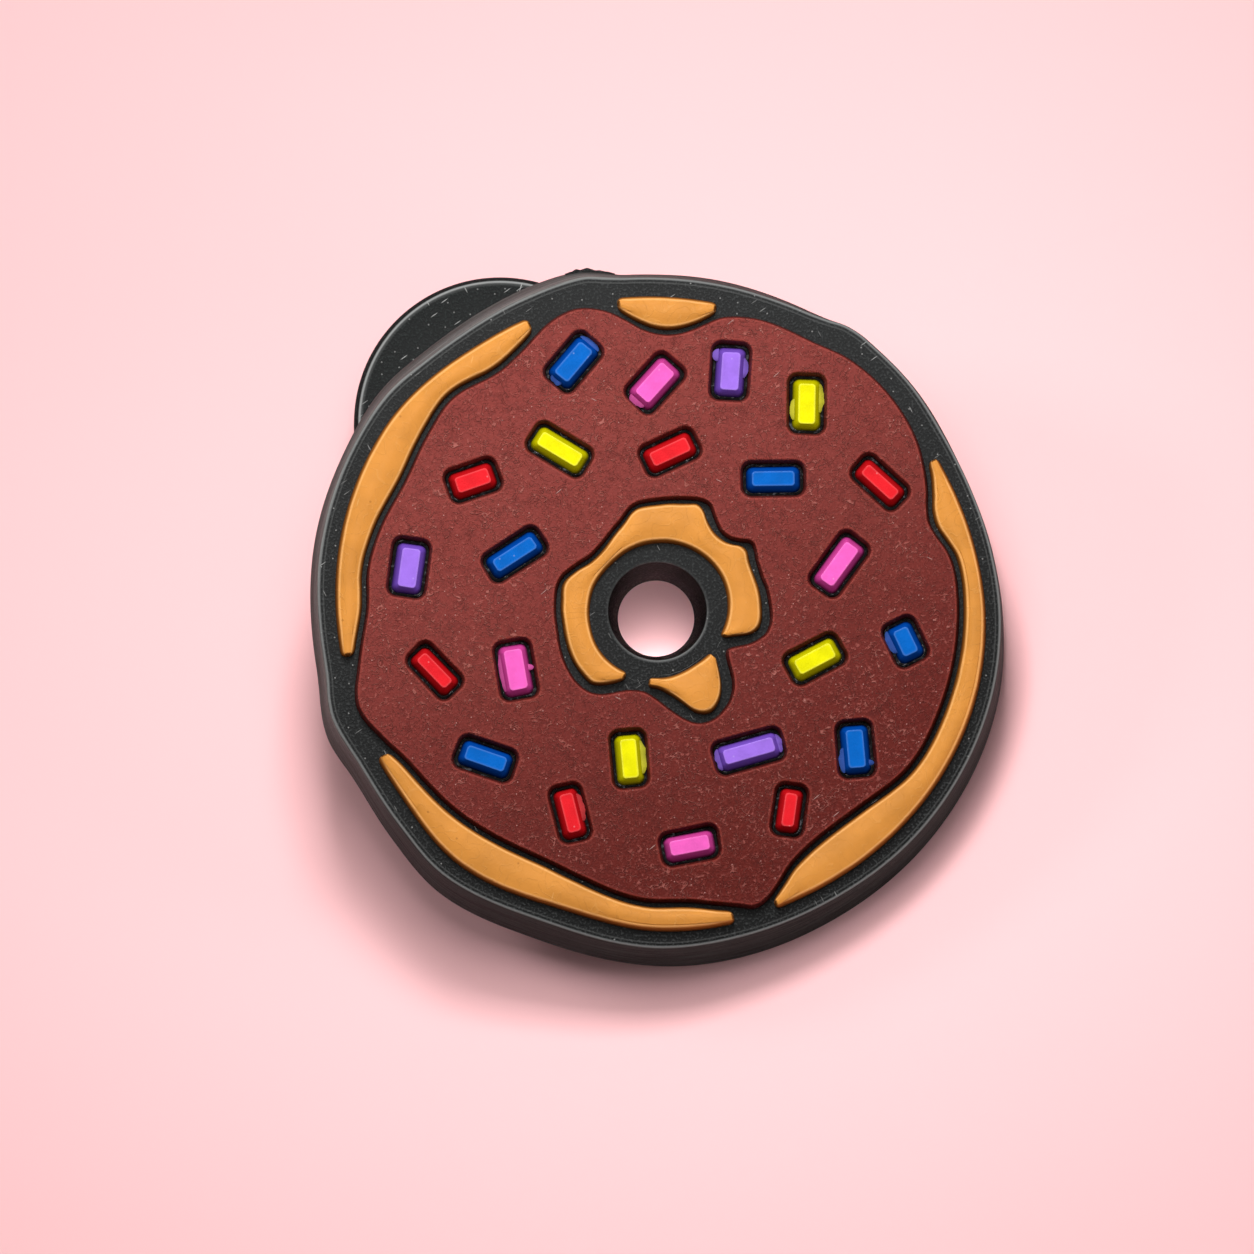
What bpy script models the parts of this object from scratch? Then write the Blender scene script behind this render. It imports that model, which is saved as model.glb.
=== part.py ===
"""A chocolate doughnut shoe charm in soft moulded PVC, lying face up on its button.

A black backing plate with a drafted hole carries the raised icing, the dough that shows
past it and the sprinkles, each moulded in its own colour. Behind the plate a post and a
round disc hold the charm in a shoe's hole. On a table the charm leans on the disc's inner
edge and on the far edge of the plate.

The pieces are drawn in millimetres on the plate's face: x to the right, y up, z out of the
face, with the centre of the hole at 0, 0. An empty carries that face into the world.
"""

import bisect
import math

import bmesh
import bpy
from mathutils import Matrix, Vector

MM = 0.001

# Backing plate.
PLATE_THICKNESS = 3.2
FACE_BEVEL = 0.08
BACK_BEVEL = 0.15
HOLE_RIM_RADIUS = 2.12
HOLE_BACK_RADIUS = 1.65
HOLE_BEVEL = 0.08

# Stud: a post and a disc, bonded to the back of the plate beyond its middle.
STUD_OFFSET = 11.28
STUD_DIRECTION = 126.0
POST_RADIUS = 2.75
NECK_LENGTH = 5.3
POST_FILLET = 0.6
DISC_RADIUS = 6.34
DISC_THICKNESS = 1.8
DISC_FRONT_BEVEL = 0.24
DISC_BACK_BEVEL = 0.3

# Raised colours, with the thin seam between each and the plate's face.
SEAM = 0.04
ICING_HEIGHT = 0.6
ICING_WALL_HEIGHT = 0.53
ICING_WALL_DRAFT = 0.12
ICING_BEVEL = 0.16
DOUGH_WALL_HEIGHT = 0.45
DOUGH_WALL_DRAFT = 0.1
DOUGH_SHOULDER_HEIGHT = 0.51
DOUGH_RIDGE_HEIGHT = 0.59
DOUGH_SHOULDER_INSET = 0.14
DOUGH_RIDGE_PLACE = 0.4
OUTER_GROOVE = 0.16
INNER_GROOVE = 0.1

# Sprinkles and the pockets that they stand in.
SPRINKLE_HEIGHT = 0.58
SPRINKLE_WALL_HEIGHT = 0.34
SPRINKLE_WALL_INSET = 0.13
SPRINKLE_TOP_INSET = 0.27
SPRINKLE_CORNER = 0.3
SPRINKLE_TOP_CORNER = 0.14
SPRINKLE_FLARE = 0.1
SPRINKLE_PLACE = (0.08, -0.15)
POCKET_FLOOR_CLEARANCE = 0.1
POCKET_WALL_CLEARANCE = 0.21
POCKET_RIM_CLEARANCE = 0.25
POCKET_CORNER = 0.42

# How the charm lies: the depth worn off the two edges that it rests on.
WORN_FLAT = 0.04

# Steps round each outline.
PLATE_STEPS = 120
HOLE_STEPS = 36
STUD_STEPS = 40
ICING_OUTER_STEPS = 120
ICING_INNER_STEPS = 90

# Outlines about the hole's centre, as (degrees, millimetres) points of smooth closed curves.
FACE_EDGE = (
    (0, 14.82), (10, 14.67), (22, 14.54), (32, 14.55), (42, 14.74), (50, 14.82), (56, 14.87),
    (62, 14.55), (78, 14.46), (97, 14.57), (102, 14.83), (112, 14.76), (125, 14.69),
    (133, 14.78), (141, 14.98), (152, 14.94), (170, 14.78), (190, 14.55), (198, 14.79),
    (208, 14.48), (220, 14.52), (231, 14.73), (250, 14.35), (270, 14.62), (285, 14.58),
    (300, 14.61), (320, 14.82), (345, 14.91),
)
BACK_EDGE = (
    (0, 15.0), (11, 14.84), (27, 14.74), (42, 15.03), (50, 15.13), (56, 15.2), (62, 14.94),
    (80, 14.95), (96, 15.02), (101, 15.38), (106, 15.45), (120, 15.32), (130, 15.3),
    (140, 15.46), (152, 15.28), (165, 15.15), (189, 14.83), (200, 15.12), (209, 14.8),
    (220, 14.9), (232, 15.16), (250, 14.85), (275, 15.13), (300, 15.14), (320, 15.22),
    (345, 15.22),
)
RIM_EDGE = (
    (0, 14.16), (12, 13.98), (29, 13.79), (60, 13.66), (79, 13.62), (97, 13.7), (114, 13.88),
    (125, 13.92), (142, 14.2), (152, 14.18), (165, 14.07), (188, 13.8), (208, 13.7),
    (217, 13.71), (232, 13.97), (250, 13.61), (257, 13.63), (268, 13.86), (282, 13.94),
    (295, 13.89), (315, 14.06), (330, 14.2), (345, 14.26),
)
ICING_OUTER = (
    (0, 13.02), (10, 12.92), (18, 12.38), (26, 12.95), (34, 13.48), (44, 13.76), (53, 13.74),
    (60, 13.5), (71, 13.41), (78, 13.02), (83, 12.31), (88, 12.01), (93, 12.26), (99, 13.13),
    (105, 13.58), (111, 13.33), (117, 12.76), (124, 12.44), (134, 12.8), (143, 12.53),
    (153, 12.28), (164, 12.53), (172, 12.66), (180, 12.58), (190, 13.12), (198, 13.64),
    (206, 13.08), (212, 12.65), (225, 12.35), (243, 11.93), (252, 12.02), (267, 12.62),
    (276, 12.72), (284, 13.2), (288.5, 13.56), (292, 13.25), (298, 12.42), (306, 12.07),
    (316, 12.22), (328, 12.82), (340, 12.95),
)
ICING_INNER = (
    (6, 4.77), (12, 4.74), (18, 4.67), (27, 4.74), (33, 4.91), (37, 4.92), (39, 4.71),
    (43, 4.44), (49, 4.33), (54, 4.42), (60, 4.75), (63, 5.0), (66, 5.09), (70, 5.06),
    (79, 4.89), (90, 4.74), (102, 4.64), (106, 4.47), (111, 4.19), (121, 3.88), (130, 3.7),
    (141, 3.68), (150, 3.93), (157, 4.18), (161, 4.32), (167, 4.4), (174, 4.37), (185, 4.35),
    (192, 4.35), (199, 4.42), (208, 4.53), (215, 4.59), (222, 4.63), (230, 4.55), (236, 4.32),
    (241, 4.03), (247, 3.72), (254, 3.55), (262, 3.54), (270, 3.81), (277, 4.24), (282, 4.62),
    (287, 4.99), (292, 5.2), (298, 5.23), (304, 5.09), (309, 4.91), (315, 4.53), (319, 4.14),
    (323, 3.75), (329, 3.42), (333, 3.48), (336, 3.71), (340, 4.12), (345, 4.53), (348, 4.71),
    (354, 4.84),
)
INNER_DOUGH_EDGE = (
    (0, 4.52), (5, 4.52), (13, 4.5), (21, 4.47), (28, 4.52), (34, 4.68), (36.5, 4.69),
    (39, 4.53), (44.5, 4.25), (53, 4.2), (60, 4.42), (64.5, 4.73), (67, 4.92), (69.5, 4.97),
    (72.5, 4.9), (78, 4.78), (84, 4.71), (90, 4.63), (96, 4.6), (102.5, 4.56), (106.5, 4.36),
    (111, 4.1), (124, 3.7), (135, 3.54), (145.5, 3.63), (153, 3.9), (158, 4.08), (162.5, 4.24),
    (166.5, 4.27), (173, 4.21), (180, 4.19), (187, 4.16), (194, 4.18), (201, 4.22), (208, 4.27),
    (215, 4.3), (222, 4.3), (228.5, 4.28), (235, 3.94), (239.5, 3.66), (243, 3.46), (252, 3.3),
    (263, 3.35), (270, 3.4), (278, 3.69), (284.5, 4.12), (290.5, 4.73), (294.5, 4.93),
    (298.5, 4.97), (304.5, 4.73), (311, 4.23), (315, 3.8), (319, 3.45), (324, 3.2), (334, 3.1),
    (339, 3.25), (343.5, 3.74), (346.5, 4.2), (351, 4.47), (357, 4.53),
)
DOUGH_HOLE = (
    (0, 3.0), (30, 3.08), (60, 3.02), (90, 2.93), (112, 2.87), (135, 2.81), (160, 2.89),
    (190, 2.93), (215, 3.0), (243, 2.96), (262, 2.9), (280, 2.87), (302, 2.8), (320, 2.86),
    (340, 2.89),
)

# Dough that shows outside the icing: name, first and last angle.
OUTER_DOUGH = (
    ("dough_top", 79, 97.5),
    ("dough_upper_left", 113.8, 188.6),
    ("dough_lower_left", 207.9, 284),
    ("dough_right", 291.6, 389),
)
# Dough that shows round the hole's black ring.
INNER_DOUGH = (
    ("dough_ring", 338.2, 604.3),
    ("dough_drop", 262.8, 321.3),
)

# Sprinkles as they show from above: name, middle, direction of the long side in degrees,
# length and width. The foot is wider and a little lower and to the right.
SPRINKLES = (
    ("sprinkle_blue_1", -3.7, 10.9, 50, 2.05, 1.05),
    ("sprinkle_pink_1", -0.2, 10.0, 48, 2.05, 1.1),
    ("sprinkle_purple_1", 3.05, 10.5, 86, 1.95, 1.1),
    ("sprinkle_yellow_1", 6.35, 9.1, 89, 2.05, 1.05),
    ("sprinkle_yellow_2", -4.3, 7.1, 149, 2.3, 0.95),
    ("sprinkle_red_1", 0.45, 7.0, 25, 2.05, 0.95),
    ("sprinkle_blue_2", 4.9, 5.85, 1, 2.15, 0.95),
    ("sprinkle_red_2", 9.5, 5.7, 138, 2.1, 0.85),
    ("sprinkle_red_3", -8.05, 5.75, 19, 1.8, 1.0),
    ("sprinkle_purple_2", -10.8, 1.95, 82, 2.0, 1.1),
    ("sprinkle_blue_3", -6.25, 2.55, 33, 2.3, 0.9),
    ("sprinkle_pink_2", 7.75, 2.15, 54, 2.3, 1.0),
    ("sprinkle_blue_4", 10.6, -1.2, 116, 1.5, 1.0),
    ("sprinkle_yellow_3", 6.7, -1.95, 28, 2.05, 1.0),
    ("sprinkle_red_4", -9.7, -2.5, 134, 2.05, 0.85),
    ("sprinkle_pink_3", -6.2, -2.45, 100, 2.05, 1.1),
    ("sprinkle_blue_5", -7.5, -6.3, 161, 2.1, 0.95),
    ("sprinkle_yellow_4", -1.3, -6.3, 95, 2.0, 1.0),
    ("sprinkle_purple_3", 3.85, -5.95, 16, 2.55, 0.95),
    ("sprinkle_blue_6", 8.45, -5.85, 95, 1.95, 1.05),
    ("sprinkle_red_5", -3.85, -8.65, 104, 2.0, 0.9),
    ("sprinkle_red_6", 5.6, -8.5, 82, 1.75, 0.85),
    ("sprinkle_pink_4", 1.3, -10.05, 11, 2.0, 0.95),
)

# Base colour of each moulding and its roughness.
FINISHES = {
    "black": ((0.03, 0.031, 0.032, 1.0), 0.55),
    "icing": ((0.2, 0.038, 0.032, 1.0), 0.5),
    "dough": ((0.79, 0.36, 0.09, 1.0), 0.5),
    "blue": ((0.005, 0.14, 0.58, 1.0), 0.4),
    "pink": ((0.95, 0.09, 0.5, 1.0), 0.4),
    "purple": ((0.34, 0.17, 0.78, 1.0), 0.4),
    "red": ((0.8, 0.02, 0.035, 1.0), 0.4),
    "yellow": ((0.9, 0.85, 0.01, 1.0), 0.4),
}


def closed_curve(points):
    """The radius at any angle, on a smooth closed curve through (angle, radius) points."""
    angles = [angle for angle, _ in points]
    radii = [radius for _, radius in points]
    count = len(points)

    def slope(k):
        before, after = k - 1, (k + 1) % count
        return (radii[after] - radii[before]) / ((angles[after] - angles[before]) % 360)

    def radius_at(angle):
        k = bisect.bisect_right(angles, angle % 360) - 1
        after = (k + 1) % count
        span = (angles[after] - angles[k]) % 360
        t = ((angle - angles[k]) % 360) / span
        ends = radii[k] * (1 + 2 * t) * (1 - t) ** 2 + radii[after] * (3 - 2 * t) * t ** 2
        return ends + span * (slope(k) * t * (1 - t) ** 2 - slope(after) * t ** 2 * (1 - t))

    return radius_at


face_edge = closed_curve(FACE_EDGE)
back_edge = closed_curve(BACK_EDGE)
rim_edge = closed_curve(RIM_EDGE)
icing_outer = closed_curve(ICING_OUTER)
icing_inner = closed_curve(ICING_INNER)
inner_dough_edge = closed_curve(INNER_DOUGH_EDGE)
dough_hole = closed_curve(DOUGH_HOLE)


def on_face(angle, radius, height):
    """The point at an angle and radius about the hole, at a height over the plate's face."""
    turn = math.radians(angle)
    return Vector((radius * math.cos(turn), radius * math.sin(turn), height))


def outline(radius_at, steps, offset, height):
    """A loop of points on a closed curve, moved out by the offset."""
    turns = [360 * k / steps for k in range(steps)]
    return [on_face(turn, radius_at(turn) + offset, height) for turn in turns]


def circle(radius, steps, height, centre=(0, 0)):
    """A loop of points on a circle."""
    middle = Vector((centre[0], centre[1], 0))
    return [middle + on_face(360 * k / steps, radius, height) for k in range(steps)]


def rounded_bar(x, y, direction, length, width, corner, corner_steps, height):
    """A loop of points on a rectangle with round corners."""
    turn = Matrix.Rotation(math.radians(direction), 3, "Z")
    loop = []
    for quarter, (across, along) in enumerate(((1, 1), (-1, 1), (-1, -1), (1, -1))):
        middle = Vector((across * (length / 2 - corner), along * (width / 2 - corner), 0))
        for k in range(corner_steps + 1):
            arc = 90 * (quarter + k / corner_steps)
            loop.append(Vector((x, y, height)) + turn @ (middle + on_face(arc, corner, 0)))
    return loop


def add_stack(bm, loops):
    """Adds loops of equally many points, joins each to the next, and returns the end loops."""
    rings = [[bm.verts.new(point * MM) for point in loop] for loop in loops]
    for lower, upper in zip(rings, rings[1:]):
        for k, vert in enumerate(lower):
            after = (k + 1) % len(lower)
            bm.faces.new((vert, lower[after], upper[after], upper[k]))
    return rings[0], rings[-1]


def fill_between(bm, rings):
    """Fills the flat face that lies between one outer ring of vertices and its holes."""
    edges = []
    for ring in rings:
        for k, vert in enumerate(ring):
            edges.append(bm.edges.get((vert, ring[(k + 1) % len(ring)])))
    bmesh.ops.triangle_fill(bm, use_beauty=True, edges=edges)


def cut_by_ground(bm, ground):
    """Takes off what lies under the ground plane, and closes the flat that this leaves."""
    point, normal = ground
    geometry = bm.verts[:] + bm.edges[:] + bm.faces[:]
    cut = bmesh.ops.bisect_plane(
        bm, geom=geometry, plane_co=point * MM, plane_no=normal, clear_inner=True
    )
    border = [item for item in cut["geom_cut"] if isinstance(item, bmesh.types.BMEdge)]
    bmesh.ops.contextual_create(bm, geom=border)


def make_node(name, bm, finish, carrier, smooth_angle=35.0):
    """Turns a mesh into a named object with its own material, under the carrier."""
    bmesh.ops.recalc_face_normals(bm, faces=bm.faces[:])
    mesh = bpy.data.meshes.new(name)
    bm.to_mesh(mesh)
    bm.free()
    mesh.shade_smooth()
    mesh.set_sharp_from_angle(angle=math.radians(smooth_angle))
    colour, roughness = FINISHES[finish]
    material = bpy.data.materials.new(name)
    material.use_nodes = True
    shader = material.node_tree.nodes["Principled BSDF"]
    shader.inputs["Base Color"].default_value = colour
    shader.inputs["Roughness"].default_value = roughness
    shader.inputs["Metallic"].default_value = 0.0
    mesh.materials.append(material)
    node = bpy.data.objects.new(name, mesh)
    bpy.context.collection.objects.link(node)
    node.parent = carrier
    return node


def resting_pose():
    """The turn that lays the charm on its disc and far edge, and the ground plane's place."""
    far = STUD_DIRECTION + 180
    reach = max(
        (back_edge(far + side) - BACK_BEVEL) * math.cos(math.radians(side))
        for side in range(-40, 41)
    )
    near = STUD_OFFSET - DISC_RADIUS + DISC_BACK_BEVEL
    drop = SEAM + NECK_LENGTH + DISC_THICKNESS
    tilt = math.atan2(drop, reach + near)
    turn = Matrix.Rotation(tilt, 4, "X") @ Matrix.Rotation(math.radians(90 - STUD_DIRECTION), 4, "Z")
    normal = turn.to_3x3().inverted() @ Vector((0, 0, 1))
    point = on_face(far, reach, -PLATE_THICKNESS) + normal * WORN_FLAT
    return turn, (point, normal)


def make_plate(carrier, ground):
    """The black plate: a face, a drafted wall, a flat back and the hole."""
    bm = bmesh.new()
    back_low, face_top = add_stack(bm, (
        outline(back_edge, PLATE_STEPS, -BACK_BEVEL, -PLATE_THICKNESS),
        outline(back_edge, PLATE_STEPS, 0, BACK_BEVEL - PLATE_THICKNESS),
        outline(face_edge, PLATE_STEPS, 0, -FACE_BEVEL),
        outline(face_edge, PLATE_STEPS, -FACE_BEVEL, 0),
    ))
    hole_low, hole_top = add_stack(bm, (
        circle(HOLE_BACK_RADIUS + HOLE_BEVEL, HOLE_STEPS, -PLATE_THICKNESS),
        circle(HOLE_BACK_RADIUS, HOLE_STEPS, HOLE_BEVEL - PLATE_THICKNESS),
        circle(HOLE_RIM_RADIUS, HOLE_STEPS, -HOLE_BEVEL),
        circle(HOLE_RIM_RADIUS + HOLE_BEVEL, HOLE_STEPS, 0),
    ))
    fill_between(bm, (back_low, hole_low))
    fill_between(bm, (face_top, hole_top))
    bmesh.ops.recalc_face_normals(bm, faces=bm.faces[:])
    cut_by_ground(bm, ground)
    return make_node("backing_plate", bm, "black", carrier)


def make_stud(carrier, ground):
    """The turned button: a filleted post and a bevelled disc."""
    place = on_face(STUD_DIRECTION, STUD_OFFSET, 0).xy
    top = -PLATE_THICKNESS - SEAM
    disc_front = top - NECK_LENGTH
    disc_back = disc_front - DISC_THICKNESS
    fillet = []
    for degrees in (0, 30, 60, 90):
        arc = math.radians(degrees)
        fillet.append((POST_FILLET * (1 - math.sin(arc)), POST_FILLET * (1 - math.cos(arc))))
    profile = [(POST_RADIUS + out, top - down) for out, down in fillet]
    profile += [(POST_RADIUS + out, disc_front + down) for out, down in reversed(fillet)]
    profile += [
        (DISC_RADIUS - DISC_FRONT_BEVEL, disc_front),
        (DISC_RADIUS, disc_front - DISC_FRONT_BEVEL),
        (DISC_RADIUS, disc_back + DISC_BACK_BEVEL),
        (DISC_RADIUS - DISC_BACK_BEVEL, disc_back),
    ]
    bm = bmesh.new()
    ends = add_stack(bm, [circle(radius, STUD_STEPS, height, place) for radius, height in profile])
    for ring in ends:
        bm.faces.new(ring)
    bmesh.ops.recalc_face_normals(bm, faces=bm.faces[:])
    cut_by_ground(bm, ground)
    return make_node("stud", bm, "black", carrier)


def make_icing(carrier):
    """The raised icing: a ring with wavy edges and a pocket through it for each sprinkle."""
    levels = (
        (SEAM, 0, POCKET_FLOOR_CLEARANCE),
        (ICING_WALL_HEIGHT, ICING_WALL_DRAFT, POCKET_WALL_CLEARANCE),
        (ICING_HEIGHT, ICING_BEVEL, POCKET_RIM_CLEARANCE),
    )
    bm = bmesh.new()
    walls = [
        add_stack(bm, [outline(icing_outer, ICING_OUTER_STEPS, -inset, z) for z, inset, _ in levels]),
        add_stack(bm, [outline(icing_inner, ICING_INNER_STEPS, inset, z) for z, inset, _ in levels]),
    ]
    for row in SPRINKLES:
        x, y, direction, length, width = base_of(row)
        walls.append(add_stack(bm, [
            rounded_bar(x, y, direction, length + 2 * wide, width + 2 * wide, POCKET_CORNER, 2, z)
            for z, _, wide in levels
        ]))
    fill_between(bm, [lower for lower, _ in walls])
    fill_between(bm, [upper for _, upper in walls])
    return make_node("chocolate_icing", bm, "icing", carrier)


def dough_section(angle, inner, outer, fullness):
    """A crowned cross-section of dough between two radii; fullness under 1 narrows it to a tip."""
    middle = (inner + outer) / 2
    inner = middle + (inner - middle) * fullness
    outer = middle + (outer - middle) * fullness
    width = outer - inner
    shoulder = min(DOUGH_SHOULDER_INSET, 0.3 * width)
    draft = shoulder * DOUGH_WALL_DRAFT / DOUGH_SHOULDER_INSET
    crown = 0.7 + 0.3 * fullness
    profile = (
        (inner, SEAM),
        (inner + draft, DOUGH_WALL_HEIGHT * crown),
        (inner + shoulder, DOUGH_SHOULDER_HEIGHT * crown),
        (inner + width * DOUGH_RIDGE_PLACE, DOUGH_RIDGE_HEIGHT * crown),
        (outer - shoulder, DOUGH_SHOULDER_HEIGHT * crown),
        (outer - draft, DOUGH_WALL_HEIGHT * crown),
        (outer, SEAM),
    )
    return [on_face(angle, radius, height) for radius, height in profile]


def make_dough(name, first, last, inner_at, outer_at, step, carrier):
    """A crowned strip of dough along the ring, rounded off at both ends."""
    middle = (first + last) / 2
    millimetre = math.degrees(1 / outer_at(middle))
    tips = ((0, 0.62), (0.08, 0.84), (0.2, 0.97))
    count = max(2, round((last - first) / step))
    stations = [(first + mm * millimetre, fullness) for mm, fullness in tips]
    stations += [(first + (last - first) * k / count, 1) for k in range(1, count)]
    stations += [(last - mm * millimetre, fullness) for mm, fullness in reversed(tips)]
    bm = bmesh.new()
    sections = [
        dough_section(angle, inner_at(angle), outer_at(angle), fullness)
        for angle, fullness in stations
    ]
    ends = add_stack(bm, sections)
    for ring in ends:
        bm.faces.new(ring)
    return make_node(name, bm, "dough", carrier)


def base_of(row):
    """A sprinkle's foot on the plate: its middle, direction, length and width."""
    _, x, y, direction, length, width = row
    wide = 2 * SPRINKLE_FLARE
    return x + SPRINKLE_PLACE[0], y + SPRINKLE_PLACE[1], direction, length + wide, width + wide


def make_sprinkle(row, carrier):
    """A short bar with sloping sides and a flat top."""
    name = row[0]
    x, y, direction, length, width = base_of(row)
    levels = (
        (SEAM, 0, SPRINKLE_CORNER),
        (SPRINKLE_WALL_HEIGHT, SPRINKLE_WALL_INSET, SPRINKLE_CORNER - 0.06),
        (SPRINKLE_HEIGHT, SPRINKLE_TOP_INSET, SPRINKLE_TOP_CORNER),
    )
    bm = bmesh.new()
    ends = add_stack(bm, [
        rounded_bar(x, y, direction, length - 2 * inset, width - 2 * inset, corner, 2, z)
        for z, inset, corner in levels
    ])
    for ring in ends:
        bm.faces.new(ring)
    return make_node(name, bm, name.split("_")[1], carrier)


def centre_over_origin(carrier, nodes, turn, ground):
    """Lays the charm on z = 0 with the middle of its plan over the origin."""
    points = [turn @ vert.co for node in nodes for vert in node.data.vertices]
    middle_x = (min(p.x for p in points) + max(p.x for p in points)) / 2
    middle_y = (min(p.y for p in points) + max(p.y for p in points)) / 2
    ground_z = (turn @ (ground[0] * MM)).z
    carrier.matrix_world = Matrix.Translation((-middle_x, -middle_y, -ground_z)) @ turn


def main():
    for item in list(bpy.data.objects):
        bpy.data.objects.remove(item, do_unlink=True)
    carrier = bpy.data.objects.new("charm_face", None)
    bpy.context.collection.objects.link(carrier)
    turn, ground = resting_pose()
    nodes = [make_plate(carrier, ground), make_stud(carrier, ground), make_icing(carrier)]
    for name, first, last in OUTER_DOUGH:
        nodes.append(make_dough(
            name, first, last, lambda a: icing_outer(a) + OUTER_GROOVE, rim_edge, 3.0, carrier
        ))
    for name, first, last in INNER_DOUGH:
        nodes.append(make_dough(
            name, first, last, dough_hole,
            lambda a: min(inner_dough_edge(a), icing_inner(a) - INNER_GROOVE), 4.0, carrier
        ))
    nodes += [make_sprinkle(row, carrier) for row in SPRINKLES]
    centre_over_origin(carrier, nodes, turn, ground)


main()
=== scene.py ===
"""The looks of a chocolate doughnut shoe charm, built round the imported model.

Each moulding of the CAD model is replaced by a finer one with the same outline: softened
edges, a drafted and slightly uneven wall, squeezed-out rims in the sprinkle pockets, flash
and a torn skin. The outlines are read from the frame, so they follow the CAD. The pieces are
drawn in millimetres on the plate's face, as the CAD source draws them: x to the right, y up,
z out of the face, with the centre of the hole at 0, 0.
"""

import bisect
import math

import bmesh
import bpy
from mathutils import Matrix, Vector, noise


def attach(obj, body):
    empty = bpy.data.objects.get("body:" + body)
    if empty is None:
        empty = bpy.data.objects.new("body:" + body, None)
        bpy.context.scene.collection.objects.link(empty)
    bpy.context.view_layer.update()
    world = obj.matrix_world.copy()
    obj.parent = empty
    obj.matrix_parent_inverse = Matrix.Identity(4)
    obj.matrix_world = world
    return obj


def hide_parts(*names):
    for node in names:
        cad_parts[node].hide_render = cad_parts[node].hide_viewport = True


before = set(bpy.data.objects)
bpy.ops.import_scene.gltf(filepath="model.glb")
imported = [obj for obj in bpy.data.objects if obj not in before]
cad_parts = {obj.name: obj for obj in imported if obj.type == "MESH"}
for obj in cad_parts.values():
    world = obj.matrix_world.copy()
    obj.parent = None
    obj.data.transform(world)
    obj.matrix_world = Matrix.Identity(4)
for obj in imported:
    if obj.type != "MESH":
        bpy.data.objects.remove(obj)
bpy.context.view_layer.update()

MM = 0.001

# The plate and the stud behind it, as the CAD has them.
STUD_DIRECTION = 126.0
PLATE_THICKNESS = 3.2
FACE_BEVEL = 0.08
BACK_BEVEL = 0.15
HOLE_RIM_RADIUS = 2.12
HOLE_BACK_RADIUS = 1.65
SEAM = 0.04
STUD_OFFSET = 11.28
POST_RADIUS = 2.75
NECK_LENGTH = 5.3
POST_FILLET = 0.6
DISC_RADIUS = 6.34
DISC_THICKNESS = 1.8

# How close two points of the CAD have to be to count as one, or as level.
WELD_DISTANCE = 0.003
LEVEL_TOLERANCE = 0.006
EDGE_TOLERANCE = 0.005

# The angle, in degrees, from which an edge between two faces is drawn sharp.
SHARP_ANGLE = 32.0

# Steps round each fine outline.
PLATE_STEPS = 540
HOLE_STEPS = 120
STUD_STEPS = 160
ICING_OUTER_STEPS = 540
ICING_INNER_STEPS = 260
CORNER_STEPS = 7
WALL_LEVELS = 14
FLASH_STEPS = 12

# Profiles of the walls: (distance from the outline, height over the face, painted highlight).
# The distance runs into the piece, but out from a sprinkle's foot for its pocket and its squeezed
# rim.
ICING_PROFILE = (
    (0.0, -0.02, 0.0), (0.03, 0.15, 0.0), (0.085, 0.4, 0.0), (0.115, 0.52, 0.0),
    (0.128, 0.565, 0.2), (0.148, 0.592, 1.0), (0.172, 0.603, 1.0), (0.205, 0.603, 0.5),
    (0.25, 0.6, 0.0), (0.32, 0.6, 0.0),
)
POCKET_PROFILE = (
    (0.1, -0.02, 0.0), (0.14, 0.2, 0.0), (0.18, 0.36, 0.0), (0.215, 0.48, 0.0),
    (0.24, 0.545, 0.2), (0.268, 0.583, 0.9), (0.3, 0.6, 1.0), (0.335, 0.603, 0.4),
    (0.38, 0.6, 0.0), (0.43, 0.6, 0.0),
)
SPRINKLE_PROFILE = (
    (0.0, -0.01, 0.0), (0.05, 0.14, 0.0), (0.13, 0.34, 0.0), (0.205, 0.47, 0.0),
    (0.24, 0.53, 0.0), (0.256, 0.558, 0.3), (0.27, 0.574, 1.0), (0.285, 0.581, 1.0),
    (0.31, 0.581, 0.4), (0.35, 0.578, 0.0), (0.4, 0.578, 0.0),
)
DOUGH_PROFILE = (
    (0.0, -0.03, 0.0), (0.05, 0.2, 0.0), (0.09, 0.35, 0.0), (0.13, 0.43, 0.1),
    (0.17, 0.475, 1.0), (0.2, 0.492, 0.9), (0.25, 0.502, 0.0),
)
SQUEEZED_PROFILE = (
    (-0.03, -0.03, 0.0), (0.0, 0.1, 1.0), (0.035, 0.12, 1.0), (0.07, 0.085, 0.6),
    (0.105, 0.07, 0.8), (0.14, -0.03, 0.0),
)
LIP_PROFILE = (
    (0.02, -0.056, 0.3), (0.046, -0.026, 0.8), (0.08, -0.005, 0.9), (0.115, 0.0, 0.4),
    (0.15, -0.004, 0.0), (0.2, -0.004, 0.0), (0.24, 0.002, 0.15), (0.265, 0.004, 0.2),
    (0.3, 0.0, 0.0), (0.36, 0.0, 0.0),
)
BACK_PROFILE = (
    (BACK_BEVEL, -PLATE_THICKNESS, 0.0), (0.06, 0.03 - PLATE_THICKNESS, 0.0),
    (0.015, 0.08 - PLATE_THICKNESS, 0.0),
)
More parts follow.
